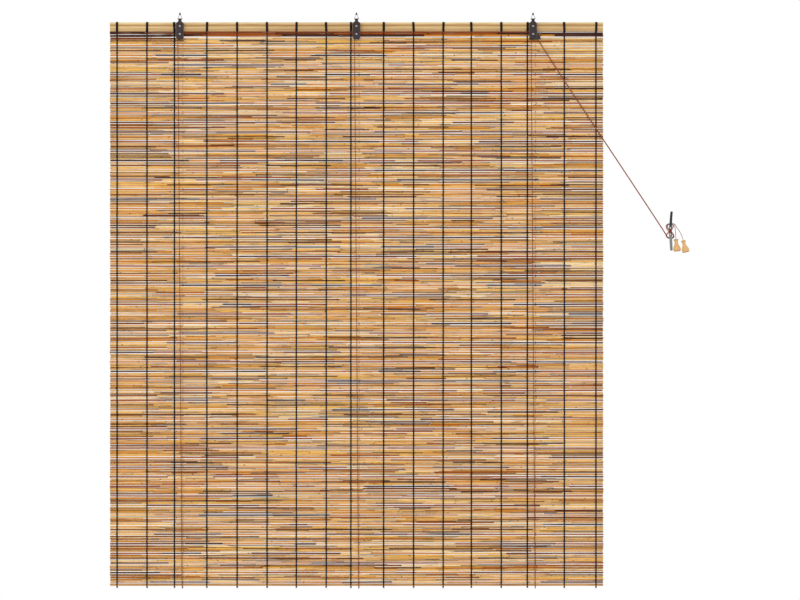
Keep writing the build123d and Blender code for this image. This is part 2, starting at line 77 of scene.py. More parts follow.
BATTEN_LOW, BATTEN_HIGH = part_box("head_batten")
SLAT_LOW, SLAT_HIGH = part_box("bottom_slat")
MAT_WIDTH = SLAT_HIGH.x - SLAT_LOW.x
MAT_Y = (SLAT_LOW.y + SLAT_HIGH.y) / 2
WHEELS = [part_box(f"wheel_{side}") for side in ("left", "middle", "right")]
BRACKET_X = [(low.x + high.x) / 2 for low, high in WHEELS]
AXLE_Z = (WHEELS[0][0].z + WHEELS[0][1].z) / 2
HINGES = [joint for joint in frame["joints"] if joint["name"].startswith("roll_up")]
HINGES.sort(key=lambda joint: -joint["pos_m"][2])
HINGE_Z = [joint["pos_m"][2] for joint in HINGES]
PANEL_BODIES = [HINGES[0]["parent"], *(joint["child"] for joint in HINGES)]
PANEL_COUNT = len(PANEL_BODIES)
PANEL_TOP_Z = [BATTEN_LOW.z, *HINGE_Z]
PANEL_LOW_Z = [*HINGE_Z, SLAT_LOW.z]
CUT_Z = [(top + low) / 2 for top, low in zip(PANEL_TOP_Z, PANEL_LOW_Z)]

# ---- sizes of the mat ----

ROW_PITCH = 6.8 * MM
LEAD_PITCH = 7.7 * MM
LEAD_ROWS = 2
FIRST_ROW_Z = BATTEN_LOW.z - 3.9 * MM
GROUP_ROWS = 4  # every fourth row is a single reed that stands apart
LANES = 4  # reeds in a row's bundle: top, back, low and front
REEDS_ALONG = 9
NAMES_ALONG = 16  # whole numbers kept for the reeds of one lane, each the name of its draws
REED_DIAMETER = 3.2 * MM
SINGLE_THICKER = 0.36  # share by which the reeds of rows that stand apart are thicker
LEAD_DRAW = 1.0 * MM  # how far the two lead rows move towards each other past the first bracket
LEAD_THICKER = 0.72  # share by which the lead rows' reeds are thicker still
BUNDLE_HIGH = 1.8 * MM
BUNDLE_DEEP = 1.15 * MM
UNEVEN = 0.44  # how far a reed's end may be from its even place, in reed lengths
END_GAP = 1.2 * MM  # the widest gap between two reeds, end to end
RAGGED = (-1.0 * MM, 1.5 * MM)  # how far a row's last reed sticks out of the mat's side
THICKNESS = (0.9, 1.06)  # a reed's thickness, as a share of its diameter
HEIGHT_SCATTER = 0.35 * MM
DEPTH_SCATTER = 0.3 * MM
TILT_SCATTER = 0.0035
NODE_SCATTER = 0.35  # how far a dark node may be from its stem's middle; past its ends it has none
SWAY = 1.1 * MM

# ---- sizes of the twine ----

TWINE_SWING = 3.55 * MM  # from the mat's middle to a strand that crosses a row
TWINE_DEPTH = 1.5 * MM
TWINE_WIDTH = 4.1 * MM
TWINE_STEPS = 6  # for each row
HINGE_ZONE = 2.6 * MM  # half the height over which what crosses a hinge turns
LOOP_TURNS = 4
LOOP_THREAD = 1.65 * MM
LOOP_CORNER = 2.2 * MM
LOOP_LEAN = 1.0 * MM
KNOT_SIZE = 5.6 * MM
TREFOIL_SIZE = 8.2  # how wide the trefoil's formula makes a knot

# ---- sizes of the cords ----

LIFT_DIAMETER = 2.0 * MM
LANE_Y = (-4.25 * MM, -2.4 * MM, -0.55 * MM)
CORD_ROUND = 5.6 * MM
BACK_RUN = Vector((7.4 * MM, 13.4 * MM, 0))
FRONT_RUN_X = 6.0 * MM
FRONT_RUN_Y = 1.9 * MM
UNDER_Z = -1627.8 * MM
ANCHOR_Z = -40.0 * MM
UNDER_REACH = 9 * MM  # height of the bend at the loop under the mat
LOCK_MOUTH_X = (513.4 * MM, 515.8 * MM, 510.0 * MM)
LOCK_MOUTH_Z = (-70.1 * MM, -70.1 * MM, -64.1 * MM)
PULL_DIAMETER = 1.7 * MM
SIDES = ("left", "middle", "right")

# the pull cords' routes, in millimetres: out of the lock, taut to the cleat, two figures of eight
# round its horns, and down to the knob
PULL_ROUTE_LEFT = [
    (513.4, -4.25, -70.6), (520.4, -4.0, -82.0), (581.0, -3.4, -176.0), (876.5, 9.0, -618.5),
    (882.0, 11.6, -632.1), (899.1, 11.6, -632.4), (901.8, 4.0, -626.5), (898.2, -0.3, -619.2),
    (885.8, 0.1, -607.0), (882.7, 4.4, -601.2), (885.0, 9.8, -593.7), (898.1, 9.8, -593.7),
    (898.6, 3.6, -600.0), (895.6, -1.9, -605.4), (883.2, -1.8, -617.2), (877.6, 3.6, -625.7),
    (883.9, 11.6, -634.3), (900.0, 11.6, -634.3), (902.9, 2.4, -627.1), (894.4, -3.9, -619.8),
    (881.8, -3.9, -608.0), (879.6, 2.8, -599.5), (885.0, 9.8, -591.7), (897.9, 9.8, -591.7),
    (902.8, 6.6, -594.8), (904.6, 4.2, -604.0), (905.9, 3.2, -617.0),
]
PULL_ROUTE_RIGHT = [
    (515.8, -2.4, -70.6), (523.4, -2.6, -81.2), (582.5, -3.0, -175.0), (877.7, 7.4, -617.7),
    (883.2, 9.8, -631.1), (898.1, 9.8, -632.4), (899.8, 4.0, -625.5), (896.6, -0.3, -620.8),
    (884.2, 0.1, -608.6), (880.5, 4.4, -600.8), (884.2, 11.6, -593.7), (899.1, 11.6, -593.7),
    (900.6, 3.6, -600.0), (897.2, -1.9, -607.0), (884.8, -1.8, -618.8), (880.0, 3.6, -625.1),
    (884.9, 9.8, -634.3), (898.8, 9.8, -634.3), (900.7, 2.4, -626.5), (892.8, -3.9, -621.4),
    (880.2, -3.9, -609.6), (877.2, 2.8, -598.9), (884.2, 11.6, -591.7), (898.9, 11.6, -591.7),
    (905.0, 6.6, -593.2), (907.6, 4.0, -601.5), (913.6, 3.0, -608.4), (920.4, 3.0, -619.6),
    (924.6, 3.0, -629.6),
]
KNOB_TOPS = (Vector((906.8, 3.0, -635.9)) * MM, Vector((927.5, 3.0, -639.6)) * MM)
KNOB_TILTS = (6.0, 13.4)
KNOB_KNOT_DEPTH = 14.0 * MM  # from a knob's top to the knot in its pocket
# radius and height below the top, in millimetres: down the outside and up the pocket
KNOB_OUTLINE = (
    (1.2, 0), (4.8, 0), (6.2, -0.1), (6.6, -1.2), (6.3, -3.6), (5.1, -5.8),
    (4.9, -10.0), (5.7, -15.0), (7.8, -19.5), (9.9, -24.0), (10.9, -28.2), (10.7, -31.4),
    (9.4, -34.2), (7.8, -35.0), (6.4, -35.0), (4.2, -34.9), (4.0, -34.0), (4.0, -24.0),
    (4.0, -13.4), (3.6, -13.0), (1.2, -13.0),
)
SWING_REACH = 90 * MM  # the first part of a pull cord, out of the lock

# ---- sizes of the cleat ----

CLEAT_FOOT = 16.8 * MM  # half the height of the foot that stands on the wall
CLEAT_FOOT_SLOPE = 0.6 * MM
CLEAT_FRONT_Y = 1.5 * MM
CLEAT_BACK_Y = 8.0 * MM
CLEAT_CAP = 3.2 * MM  # the rounded end of a horn
CLEAT_HALF_WIDTH = 4.3 * MM
CLEAT_SIDES = 20
CLEAT_LEVELS = 64
SCREW_Z = 9 * MM
# radius and height of a countersunk screw hole, in millimetres
SCREW_OUTLINE = ((0, 6), (6.2, 6), (4.0, -0.6), (2.1, -3.4), (2.1, -30), (0, -30))

# ---- the stage ----

FLOOR_DROP = 0.46  # from the bottom slat to the floor
CAMERA_LENS = 142.6
CAMERA_AWAY = 9.0
CAMERA_X = 0.1235
CAMERA_Z = -0.8088


# ---- node trees ----


class Wire:
    """A socket of a node tree. Arithmetic on it adds Math nodes."""

    def __init__(self, graph, socket):
        self.graph = graph
        self.socket = socket

    def __add__(self, other):
        return self.graph.math("ADD", self, other)

    def __sub__(self, other):
        return self.graph.math("SUBTRACT", self, other)

    def __rsub__(self, other):
        return self.graph.math("SUBTRACT", other, self)

    def __mul__(self, other):
        return self.graph.math("MULTIPLY", self, other)

    def __truediv__(self, other):
        return self.graph.math("DIVIDE", self, other)

    __radd__ = __add__
    __rmul__ = __mul__

    def output(self, name):
        """Another output of the same node."""
        return Wire(self.graph, self.socket.node.outputs[name])


class Graph:
    """Adds nodes to one tree."""

    def __init__(self, tree):
        self.tree = tree

    def node(self, kind, settings, inputs, output=0):
        """One node: its settings first, then the values or links of its sockets."""
        node = self.tree.nodes.new(kind)
        for name, value in settings.items():
            if name == "stops":
                elements = node.color_ramp.elements
                while len(elements) < len(value):
                    elements.new(1.0)
                for element, (place, colour) in zip(elements, value):
                    element.position = place
                    element.color = colour
            elif name == "between":
                node.color_ramp.interpolation = value
            else:
                setattr(node, name, value)
        for name, value in inputs.items():
            if isinstance(value, Wire):
                self.tree.links.new(value.socket, node.inputs[name])
            else:
                node.inputs[name].default_value = value
        return Wire(self, node.outputs[output])

    def math(self, operation, *values):
        return self.node("ShaderNodeMath", {"operation": operation}, dict(enumerate(values)))

    def vector(self, x, y, z):
        return self.node("ShaderNodeCombineXYZ", {}, {"X": x, "Y": y, "Z": z})

    def parts(self, vector):
        """X, Y and Z of a vector."""
        x = self.node("ShaderNodeSeparateXYZ", {}, {0: vector})
        return x, x.output("Y"), x.output("Z")

    def scaled(self, vector, scale):
        return self.node("ShaderNodeVectorMath", {"operation": "MULTIPLY"}, {0: vector, 1: scale})

    def moved(self, vector, offset):
        return self.node("ShaderNodeVectorMath", {"operation": "ADD"}, {0: vector, 1: offset})

    def smooth(self, value, low, high):
        """0 below low, 1 above high, and a soft rise between."""
        settings = {"interpolation_type": "SMOOTHSTEP"}
        return self.node("ShaderNodeMapRange", settings, {0: value, 1: low, 2: high})

    def mix(self, share, a, b, blend="MIX"):
        """Colour a with b over it."""
        settings = {"data_type": "RGBA", "blend_type": blend}
        return self.node("ShaderNodeMix", settings, {0: share, 6: a, 7: b}, 2)

    def ramp(self, value, stops, between="LINEAR"):
        settings = {"stops": stops, "between": between}
        return self.node("ShaderNodeValToRGB", settings, {0: value})

    def noise(self, vector, scale, detail=2.0, rough=0.5):
        inputs = {"Vector": vector, "Scale": scale, "Detail": detail, "Roughness": rough}
        return self.node("ShaderNodeTexNoise", {}, inputs)


class Surface(Graph):
    """A material's tree, with its Principled shader."""

    def __init__(self, name, roughness=0.5, metallic=0.0):
        self.material = bpy.data.materials.new(name)
        self.material.use_nodes = True
        super().__init__(self.material.node_tree)
        self.shader = self.tree.nodes["Principled BSDF"]
        self.set("Roughness", roughness)
        self.set("Metallic", metallic)

    def set(self, name, value):
        if isinstance(value, Wire):
            self.tree.links.new(value.socket, self.shader.inputs[name])
        else:
            self.shader.inputs[name].default_value = value

    def place(self):
        return self.node("ShaderNodeTexCoord", {}, {}, "Object")

    def attribute(self, name, output="Fac"):
        return self.node("ShaderNodeAttribute", {"attribute_name": name}, {}, output)

    def coat(self, base, roughness, height, depth, strength):
        """Colour, roughness and the bumps of a height map, depth metres deep at 1."""
        self.set("Base Color", base)
        self.set("Roughness", roughness)
        inputs = {"Height": height, "Distance": depth, "Strength": strength}
        self.set("Normal", self.node("ShaderNodeBump", {}, inputs))
        return self.material


def colour(*parts):
    """A display colour, red, green and blue of 0 to 255, as linear light."""
    shares = [part / 255 for part in parts]
    linear = [s / 12.92 if s <= 0.04045 else ((s + 0.055) / 1.055) ** 2.4 for s in shares]
    return (*linear, 1.0)


# ---- materials ----

CREAM = colour(252, 228, 172)
GOLD = colour(244, 194, 92)
PEACH = colour(240, 194, 130)
TAN = colour(214, 170, 104)
HONEY = colour(230, 182, 100)
ORANGE = colour(214, 140, 44)
RUST = colour(166, 86, 20)
BROWN = colour(118, 60, 12)
DARK = colour(70, 32, 10)
MAUVE = colour(150, 122, 96)
ASH = colour(166, 146, 112)

# the shares of the tones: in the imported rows, the rows apart, and the two lead rows
PACKED_TONES = (
    (0.0, PEACH), (0.24, TAN), (0.38, HONEY), (0.5, MAUVE), (0.62, CREAM), (0.7, ASH),
    (0.76, GOLD), (0.84, ORANGE), (0.9, RUST), (0.94, BROWN), (0.98, DARK),
)
SINGLE_TONES = ((0.0, ORANGE), (0.28, GOLD), (0.36, RUST), (0.6, DARK), (0.72, BROWN), (0.9, HONEY))
LEADING_TONES = ((0.0, DARK), (0.42, BROWN), (0.7, RUST), (0.88, ORANGE))


def reed():
    """Split reeds: each stem its own tone, with fibres, weathered patches and a few dark nodes."""
    surface = Surface("reed")
    surface.set("Specular IOR Level", 0.25)
    tone, accent = surface.attribute("tone"), surface.attribute("accent")
    x, _, _ = surface.parts(surface.place())
    joint = surface.math("ABSOLUTE", x - surface.attribute("joint_x"))
    ring = surface.smooth(joint, 2.6 * MM, 0.9 * MM)
    packed = surface.ramp(tone, PACKED_TONES, "CONSTANT")
    single = surface.ramp(tone, SINGLE_TONES, "CONSTANT")
    leading = surface.ramp(tone, LEADING_TONES, "CONSTANT")
    stem = surface.mix(surface.math("MINIMUM", accent, 1.0), packed, single)
    stem = surface.mix(surface.math("MAXIMUM", accent - 1.0, 0.0), stem, leading)
    place = surface.moved(surface.place(), surface.vector(tone * 7.3, tone * 3.1, tone * 5.7))
    fibre = surface.noise(surface.scaled(place, (0.02, 1, 1)), 1500.0, 3.0, 0.6)
    patch = surface.noise(surface.scaled(place, (0.12, 1, 1)), 110.0, 2.0, 0.6)
    weathered = surface.mix(surface.smooth(patch, 0.55, 0.68) * 0.6, stem, MAUVE)
    fibred = surface.mix(
        surface.smooth(fibre, 0.35, 0.75) * 0.4, weathered, colour(176, 120, 70), "MULTIPLY"
    )
    ringed = surface.mix(ring * 0.8, fibred, colour(88, 48, 22))
    return surface.coat(ringed, 0.42 + fibre * 0.25, fibre, 0.12 * MM, 0.6)


def batten_wood():
    """Pale wood sawn along its grain, banded across its height: painted highlights in the pale
    bands, darker lines, and painted shade along the bottom.
    """
    surface = Surface("batten_wood")
    place = surface.place()
    _, _, z = surface.parts(place)
    wander = surface.noise(surface.scaled(place, (1.0, 12, 12)), 4.0, 2.0)
    height = (z - BATTEN_LOW.z) / (BATTEN_HIGH.z - BATTEN_LOW.z) + (wander - 0.5) * 0.12
    # bands across the batten's height: the pale bands are painted highlights and the darkest band
    # at the bottom is painted shade; the tan between is the wood's colour
    grain_and_painted_light_bands = surface.ramp(
        height,
        [
            (0.0, colour(150, 112, 64)),
            (0.1, colour(206, 170, 114)),
            (0.3, colour(198, 160, 102)),
            (0.42, colour(224, 198, 144)),
            (0.6, colour(200, 160, 98)),
            (0.7, colour(164, 120, 66)),
            (0.78, colour(208, 174, 112)),
            (0.9, colour(232, 210, 156)),
            (1.0, colour(222, 196, 138)),
        ],
    )
    grain = surface.noise(surface.scaled(place, (0.02, 1, 1)), 900.0, 4.0, 0.6)
    streaked = surface.mix(
        surface.smooth(grain, 0.4, 0.7) * 0.4, grain_and_painted_light_bands, colour(168, 128, 78), "MULTIPLY"
    )
    weather = surface.noise(surface.scaled(place, (1, 3, 3)), 2.6, 2.0)
    greyed = surface.mix(
        surface.smooth(weather, 0.42, 0.66) * 0.5, streaked, colour(214, 200, 186), "MULTIPLY"
    )
    return surface.coat(greyed, 0.45 + grain * 0.2, grain, 0.15 * MM, 0.7)


def slat_wood():
    """The bottom stick: plain tan cane with long fibres."""
    surface = Surface("slat_wood")
    place = surface.place()
    grain = surface.noise(surface.scaled(place, (0.015, 1, 1)), 1100.0, 4.0, 0.6)
    broad = surface.noise(surface.scaled(place, (0.1, 1, 1)), 60.0, 2.0)
    base = surface.mix(surface.smooth(broad, 0.4, 0.65), colour(204, 156, 96), colour(172, 122, 66))
    streak = surface.smooth(grain, 0.4, 0.7) * 0.5
    streaked = surface.mix(streak, base, colour(160, 108, 60), "MULTIPLY")
    return surface.coat(streaked, 0.45 + grain * 0.2, grain, 0.12 * MM, 0.7)


def twine():
    """Black waxed twine of twisted plies."""
    surface = Surface("twine", 0.7)
    surface.set("Specular IOR Level", 0.25)
    place = surface.place()
    x, _, z = surface.parts(place)
    ply = surface.math("SINE", (z + x * 1.6) * (2 * math.pi / (1.7 * MM))) * 0.5 + 0.5
    fuzz = surface.noise(place, 1400.0, 2.0)
    # painted shade darkens the grooves between the plies
    base = surface.mix(ply * 0.6 * fuzz, colour(3, 2, 2), colour(18, 14, 14))
    return surface.coat(base, 0.5 + fuzz * 0.3, ply, 0.2 * MM, 0.6)


def braid(name, main, dark):
    """A braided cord. The UV map runs round it in U and along it, in metres, in V."""
    surface = Surface(name, 0.6)
    around, along, _ = surface.parts(surface.node("ShaderNodeUVMap", {}, {}))
    pitch = 2.2 * MM
    rising = surface.math("SINE", (around * 3 + along / pitch) * (2 * math.pi))
    falling = surface.math("SINE", (around * 3 - along / pitch) * (2 * math.pi))
    weave = surface.math("MAXIMUM", rising, falling) * 0.5 + 0.5
    fleck = surface.noise(surface.vector(around * 6, along * 700, 0.0), 1.0, 2.0)
    # painted shade: the dark colour fills the grooves between the strands
    shade = surface.smooth(weave, 0.2, 0.85) * (0.6 + fleck * 0.6)
    base = surface.mix(surface.math("MINIMUM", shade, 1.0), dark, main)
    return surface.coat(base, 0.5 + fleck * 0.25, weave, 0.18 * MM, 0.7)


def bracket_metal():
    """Dark bronzed steel, rubbed paler along the straps' edges."""
    surface = Surface("bracket_metal")
    surface.set("Specular IOR Level", 0.3)
    place = surface.place()
    x, _, _ = surface.parts(place)
    aside = surface.math("ABSOLUTE", x)
    aside = surface.math(
        "MINIMUM", aside, surface.math("ABSOLUTE", aside - (BRACKET_X[2] - BRACKET_X[1]))
    )
    mottle = surface.noise(place, 260.0, 4.0, 0.65)
    scratch = surface.noise(surface.scaled(place, (1, 1, 0.08)), 2400.0, 2.0)
    edge = surface.smooth(aside + (mottle - 0.5) * (1.6 * MM), 9.9 * MM, 10.6 * MM)
    rubbed = edge * (1 - surface.smooth(aside, 10.9 * MM, 11.6 * MM)) * 0.6
    base = surface.mix(surface.smooth(mottle, 0.35, 0.7), colour(42, 31, 32), colour(56, 44, 45))
    wear = rubbed + surface.smooth(scratch, 0.68, 0.78) * 0.2
    worn = surface.mix(wear, base, colour(104, 94, 92))
    return surface.coat(worn, 0.34 + mottle * 0.25, mottle, 0.08 * MM, 0.5)


def bright_metal(name, base, dull, roughness):
    """Plated metal with brushed marks and dull specks."""
    surface = Surface(name, roughness, 1.0)
    speck = surface.noise(surface.place(), 900.0, 3.0, 0.7)
    brush = surface.noise(surface.scaled(surface.place(), (1, 0.1, 1)), 3000.0, 2.0)
    specked = surface.mix(surface.smooth(speck, 0.5, 0.75), base, dull)
    return surface.coat(specked, roughness + brush * 0.18, brush, 0.03 * MM, 0.4)


def rivet_metal():
    """Bright rivet heads. The cam's pin, in the lock's flared side, is painted dark like the strap,
    as painted shade.
    """
    surface = Surface("rivet_metal", 0.3, 1.0)
    place = surface.place()
    x, _, _ = surface.parts(place)
    # painted shade: the cam's pin is painted dark, like the strap
    pin = surface.smooth(x, BRACKET_X[2] + 12 * MM, BRACKET_X[2] + 13 * MM)
    speck = surface.noise(place, 900.0, 3.0, 0.7)
    dull = surface.smooth(speck, 0.5, 0.75)
    bright = surface.mix(dull, colour(176, 176, 176), colour(126, 124, 122))
    surface.set("Metallic", 1.0 - pin * 0.8)
    base = surface.mix(pin, bright, colour(46, 36, 36))
    return surface.coat(base, 0.3 + speck * 0.15, speck, 0.03 * MM, 0.4)


def ring_wire():
    """Bright wire, black at its pinched point."""
    surface = Surface("ring_wire", 0.22, 1.0)
    place = surface.place()
    _, _, z = surface.parts(place)
    speck = surface.noise(place, 1200.0, 3.0, 0.7)
    tip = surface.smooth(z + (speck - 0.5) * (0.8 * MM), 0.2 * MM, 0.8 * MM)
    dull = surface.smooth(speck, 0.5, 0.8)
    wire = surface.mix(dull, colour(176, 178, 184), colour(110, 111, 114))
    black = surface.mix(speck, colour(14, 13, 14), colour(40, 38, 38))
    surface.set("Metallic", 1.0 - tip * 0.6)
    roughness = 0.18 + tip * 0.3 + speck * 0.1
    return surface.coat(surface.mix(tip, wire, black), roughness, speck, 0.04 * MM, 0.4)


def cleat_metal():
    """A cast cleat, dark on its upper horn and paler grey on its lower horn."""
    surface = Surface("cleat_metal", 0.4, 0.5)
    low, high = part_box("cleat")
    place = surface.place()
    _, _, z = surface.parts(place)
    cast = surface.noise(place, 420.0, 4.0, 0.6)
    height = (z - low.z) / (high.z - low.z) + (cast - 0.5) * 0.08
    base = surface.ramp(
        height,
        [
            (0.0, colour(114, 118, 118)),
            (0.35, colour(134, 136, 136)),
            (0.52, colour(98, 100, 100)),
            (0.66, colour(50, 54, 54)),
            (1.0, colour(32, 35, 35)),
        ],
    )
    pitted = surface.smooth(cast, 0.55, 0.8) * 0.4
    worn = surface.mix(pitted, base, colour(30, 32, 32))
    return surface.coat(worn, 0.32 + cast * 0.3, cast, 0.1 * MM, 0.5)


def knob_wood():
    """Turned pale wood. The grain follows the knob's own axis, kept in the attribute turned."""
    surface = Surface("knob_wood", 0.45)
    surface.set("Coat Weight", 0.15)
    surface.set("Coat Roughness", 0.3)
    place = surface.attribute("turned", "Vector")
    x, y, z = surface.parts(place)
    warp = surface.noise(surface.scaled(place, (1, 1, 0.25)), 140.0, 2.0)
    across = x + y * 0.35 + (warp - 0.5) * (5 * MM)
    ring = surface.math("SINE", across * (2 * math.pi / (2.6 * MM))) * 0.5 + 0.5
    pore = surface.noise(surface.scaled(place, (1, 1, 0.06)), 2600.0, 3.0, 0.6)
    base = surface.mix(ring * 0.7, colour(228, 184, 118), colour(202, 152, 88))
    base = surface.mix(surface.smooth(pore, 0.5, 0.75) * 0.5, base, colour(160, 114, 64))
    # painted shade darkens the rounded foot, and the lip of the top is darker
    foot = surface.smooth(z, -31.5 * MM, -34.4 * MM)
    lip = surface.smooth(z, -5.4 * MM, -1.0 * MM) * 0.5
    foot_shade_and_dark_lip = surface.math("MAXIMUM", foot, lip)
    base = surface.mix(foot_shade_and_dark_lip * 0.8, base, colour(112, 78, 42))
    return surface.coat(base, 0.38 + pore * 0.25, pore, 0.08 * MM, 0.5)


REED = reed()
TWINE = twine()
LIFT_BRAID = braid("lift_cord", colour(150, 58, 18), colour(84, 30, 8))
KNOB_WOOD = knob_wood()
CLEAT_METAL = cleat_metal()
PULL_BRAID = braid("pull_cord", colour(158, 74, 24), colour(80, 32, 9))
CAD_MATERIALS = {
    "head_batten": batten_wood(),
    "bottom_slat": slat_wood(),
    "bracket_left": bracket_metal(),
    "bracket_rivets": rivet_metal(),
    "wheel_left": bright_metal("wheel_brass", colour(196, 160, 90), colour(120, 92, 50), 0.35),
    "lock_cam": bright_metal("cam_metal", colour(104, 74, 52), colour(60, 42, 32), 0.4),
    "ring_left": ring_wire(),
}
for node, same in (
    ("bracket_middle", "bracket_left"),
    ("lock_housing", "bracket_left"),
    ("wheel_middle", "wheel_left"),
    ("wheel_right", "wheel_left"),
    ("ring_middle", "ring_left"),
    ("ring_right", "ring_left"),
):
    CAD_MATERIALS[node] = CAD_MATERIALS[same]
for node, material in CAD_MATERIALS.items():
    frame["nodes"][node].data.materials.clear()
    frame["nodes"][node].data.materials.append(material)


# ---- meshes ----


def piece(name, mesh, material=None):
    """A new object in the scene."""
    made = bpy.data.objects.new(name, mesh)
    bpy.context.scene.collection.objects.link(made)
    if material:
        mesh.materials.append(material)
    return made


def weld(mesh):
    """Merges points in the same place, and turns the faces outwards."""
    bm = bmesh.new()
    bm.from_mesh(mesh)
    bmesh.ops.remove_doubles(bm, verts=bm.verts, dist=1e-6)
    bmesh.ops.recalc_face_normals(bm, faces=bm.faces)
    bm.to_mesh(mesh)
    bm.free()
    return mesh


def mesh_of(name, points, faces, smooth=True):
    mesh = bpy.data.meshes.new(name)
    mesh.from_pydata([tuple(p) for p in points], [], faces)
    if smooth:
        mesh.shade_smooth()
    return mesh


class Tubes:
    """Tubes along paths, joined in one mesh, with a UV map of share round and metres along."""

    def __init__(self):
        self.points = []
        self.faces = []
        self.uvs = []

    def add(self, path, radius, sides=8, along=0.0):
        """One closed tube. The path is a list of points; along is its first point's length."""
        first = len(self.points)
        count = len(path)
        side = None
        lengths = [along]
        for number, point in enumerate(path):
            ahead = path[min(number + 1, count - 1)] - path[max(number - 1, 0)]
            ahead.normalize()
            if side is None:
                side = ahead.orthogonal()
            side = (side - ahead * side.dot(ahead)).normalized()
            across = ahead.cross(side)
            for turn in range(sides):
                angle = 2 * math.pi * turn / sides
                offset = side * math.cos(angle) + across * math.sin(angle)
                self.points.append(point + offset * radius)
            if number:
                lengths.append(lengths[-1] + (point - path[number - 1]).length)
        for number in range(count - 1):
            for turn in range(sides):
                a, b = first + number * sides + turn, first + number * sides + (turn + 1) % sides
                self.faces.append((a, b, b + sides, a + sides))
                u, w = turn / sides, (turn + 1) / sides
                v, end = lengths[number], lengths[number + 1]
                self.uvs.extend([(u, v), (w, v), (w, end), (u, end)])
        last = first + (count - 1) * sides
        for ring, v in (
            ([first + turn for turn in reversed(range(sides))], lengths[0]),
            ([last + turn for turn in range(sides)], lengths[-1]),
        ):
            self.faces.append(tuple(ring))
            self.uvs.extend([(0.5, v)] * sides)

    def piece(self, name, material):
        mesh = mesh_of(name, self.points, self.faces)
        layer = mesh.uv_layers.new(name="UVMap")
        layer.data.foreach_set("uv", [value for uv in self.uvs for value in uv])
        return piece(name, mesh, material)


def nurbs_points(points, resolution=12):
    """Points along the smooth curve that has these control points."""
    data = bpy.data.curves.new("route", "CURVE")
    data.dimensions = "3D"
    spline = data.splines.new("NURBS")
    spline.points.add(len(points) - 1)
    for target, point in zip(spline.points, points):
        target.co = (*point, 1.0)
    spline.order_u = 3
    spline.use_endpoint_u = True
    data.resolution_u = resolution
    holder = bpy.data.objects.new("route", data)
    bpy.context.scene.collection.objects.link(holder)
    graph = bpy.context.evaluated_depsgraph_get()
    line = bpy.data.meshes.new_from_object(holder.evaluated_get(graph))
    path = [vertex.co.copy() for vertex in line.vertices]
    bpy.data.objects.remove(holder)
    bpy.data.meshes.remove(line)
    bpy.data.curves.remove(data)
    return path


def new_tree(name, inputs):
    """A geometry node tree with these named inputs. Returns its graph and the inputs' wires."""
    tree = bpy.data.node_groups.new(name, "GeometryNodeTree")
    tree.interface.new_socket("Geometry", in_out="OUTPUT", socket_type="NodeSocketGeometry")
    for label, kind in inputs.items():
        tree.interface.new_socket(label, in_out="INPUT", socket_type=f"NodeSocket{kind}")
    graph = Graph(tree)
    source = tree.nodes.new("NodeGroupInput")
    return graph, {label: Wire(graph, source.outputs[label]) for label in inputs}


def close_tree(graph, geometry, material):
    """Realizes the instances, sets their material and ends the tree."""
    real = graph.node("GeometryNodeRealizeInstances", {}, {0: geometry})
    coated = graph.node("GeometryNodeSetMaterial", {}, {"Geometry": real, "Material": material})
    graph.tree.links.new(coated.socket, graph.tree.nodes.new("NodeGroupOutput").inputs[0])
    return graph.tree


def grow(name, tree, values, places=()):
    """What a tree makes on a mesh of loose points, as a plain mesh."""
    seed = bpy.data.meshes.new(name)
    seed.from_pydata([tuple(p) for p in places], [], [])
    holder = bpy.data.objects.new(name + "_seed", seed)
    bpy.context.scene.collection.objects.link(holder)
    modifier = holder.modifiers.new("grow", "NODES")
    modifier.node_group = tree
    for item in tree.interface.items_tree:
        if item.in_out == "INPUT" and item.name in values:
            modifier[item.identifier] = values[item.name]
    graph = bpy.context.evaluated_depsgraph_get()
    mesh = bpy.data.meshes.new_from_object(
        holder.evaluated_get(graph), preserve_all_data_layers=True, depsgraph=graph
    )
    bpy.data.objects.remove(holder)
    mesh.name = name
    return piece(name, mesh)


# ---- reeds ----


def row_z(row):
    """Height of the middle of a row, counted from 0 under the batten."""
    return FIRST_ROW_Z - min(row, LEAD_ROWS) * LEAD_PITCH - max(0, row - LEAD_ROWS) * ROW_PITCH


